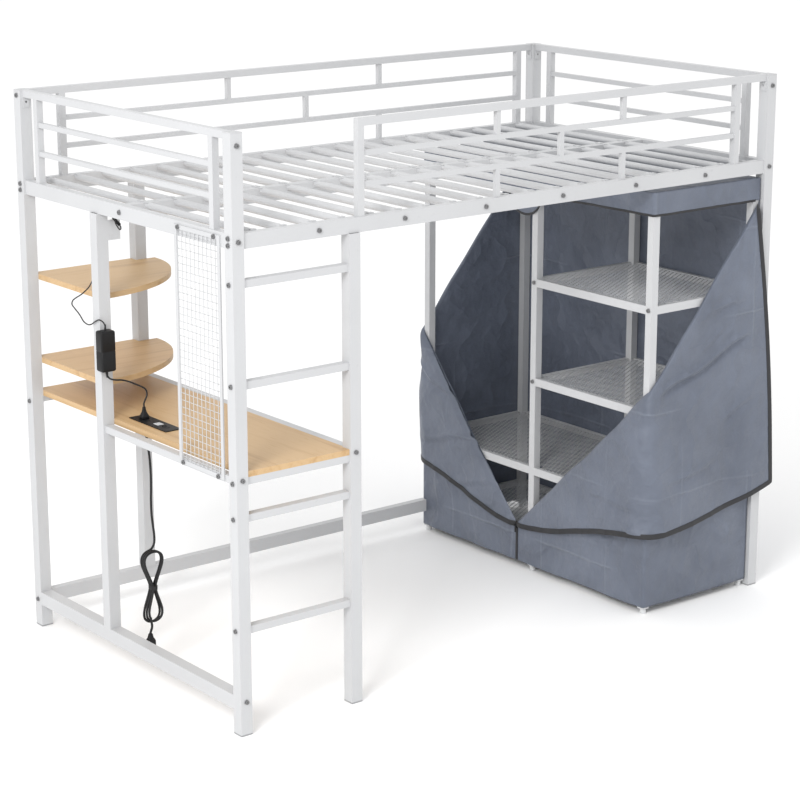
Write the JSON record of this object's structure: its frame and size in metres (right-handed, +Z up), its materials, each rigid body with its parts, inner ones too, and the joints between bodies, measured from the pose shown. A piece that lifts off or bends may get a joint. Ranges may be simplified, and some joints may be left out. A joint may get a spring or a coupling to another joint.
{
  "type": "loft bed with desk",
  "caption": "Metal loft bed with guards and a ladder over a desk, corner shelves, a wire panel and a fabric-covered wardrobe with folded-back doors",
  "frame": {"origin": "on the floor, under the middle of the object's bounding box, its cords not counted", "axes": "+X along the bed from the desk to the wardrobe, +Y from the ladder side to the back, +Z up"},
  "size_m": [2.0369, 1.19, 1.62],
  "materials": {
    "white_steel": "satin powder coat",
    "maple_board": "satin laminate",
    "foot_plastic": "matt",
    "cap_plastic": "satin",
    "dark_steel": "dark zinc",
    "bright_steel": "zinc",
    "black_plastic": "fine matt",
    "grey_plastic": "satin",
    "cord_rubber": "matt",
    "blue_grey_fabric": "woven polyester",
    "zip_black": "woven tape",
    "zip_metal": "satin black"
  },
  "bodies": {
    "root": {"post_front_left": "white_steel", "post_back_left": "white_steel", "post_front_right": "white_steel", "post_back_right": "white_steel", "foot_caps": "foot_plastic", "top_caps": "cap_plastic", "deck_rail_front": "white_steel", "deck_rail_back": "white_steel", "deck_rail_left": "white_steel", "deck_rail_right": "white_steel", "centre_beam": "white_steel", "slats_front": "white_steel", "slats_back": "white_steel", "guard_front": "white_steel", "guard_back": "white_steel", "guard_left": "white_steel", "guard_right": "white_steel", "ladder_post": "white_steel", "ladder_rungs": "white_steel", "bottom_rail_left": "white_steel", "bottom_rail_back": "white_steel", "mid_post_left": "white_steel", "mid_post_back": "white_steel", "desk_board": "maple_board", "desk_rails": "white_steel", "corner_shelves": "maple_board", "cable_bracket": "white_steel", "wire_panel_frame": "white_steel", "wire_panel_wires": "white_steel", "bolts": "dark_steel", "washers": "bright_steel", "power_strip": "black_plastic", "usb_block": "grey_plastic", "adapter": "black_plastic", "adapter_cord": "cord_rubber", "adapter_plug": "black_plastic", "led_cord": "cord_rubber", "led_connector": "black_plastic", "led_lead": "cord_rubber", "led_strip": "grey_plastic", "mains_cord": "cord_rubber", "mains_hank": "cord_rubber", "mains_plug": "black_plastic", "wardrobe_posts": "white_steel", "wardrobe_top_rails": "white_steel", "wardrobe_feet": "grey_plastic", "hanging_rod": "white_steel", "shelf_frames": "white_steel", "shelf_mesh": "white_steel", "cover_top": "blue_grey_fabric", "cover_right": "blue_grey_fabric", "cover_front": "blue_grey_fabric", "cover_back": "blue_grey_fabric", "cover_left": "blue_grey_fabric", "door_right": "blue_grey_fabric", "door_left": "blue_grey_fabric", "zip_tape": "zip_black"},
    "rocker": {"rocker_switch": "black_plastic"},
    "zip_runner": {"zip_slider": "zip_metal"},
    "zip_tab": {"zip_pull": "zip_metal"}
  },
  "joints": [
    {"name": "rocker_tilt", "type": "hinge", "parent": "root", "child": "rocker", "pos_m": [-0.90975, -0.058, 0.732], "axis": [1, 0, 0], "range_deg": [-18, 0]},
    {"name": "zip_slide", "type": "slide", "parent": "root", "child": "zip_runner", "axis": [0, 0, 1], "range_m": [-0.08, 0]},
    {"name": "zip_tab_swing", "type": "hinge", "parent": "zip_runner", "child": "zip_tab", "pos_m": [0.47795, 0.05, 0.139], "axis": [0, 1, 0], "range_deg": [0, 140]}
  ]
}
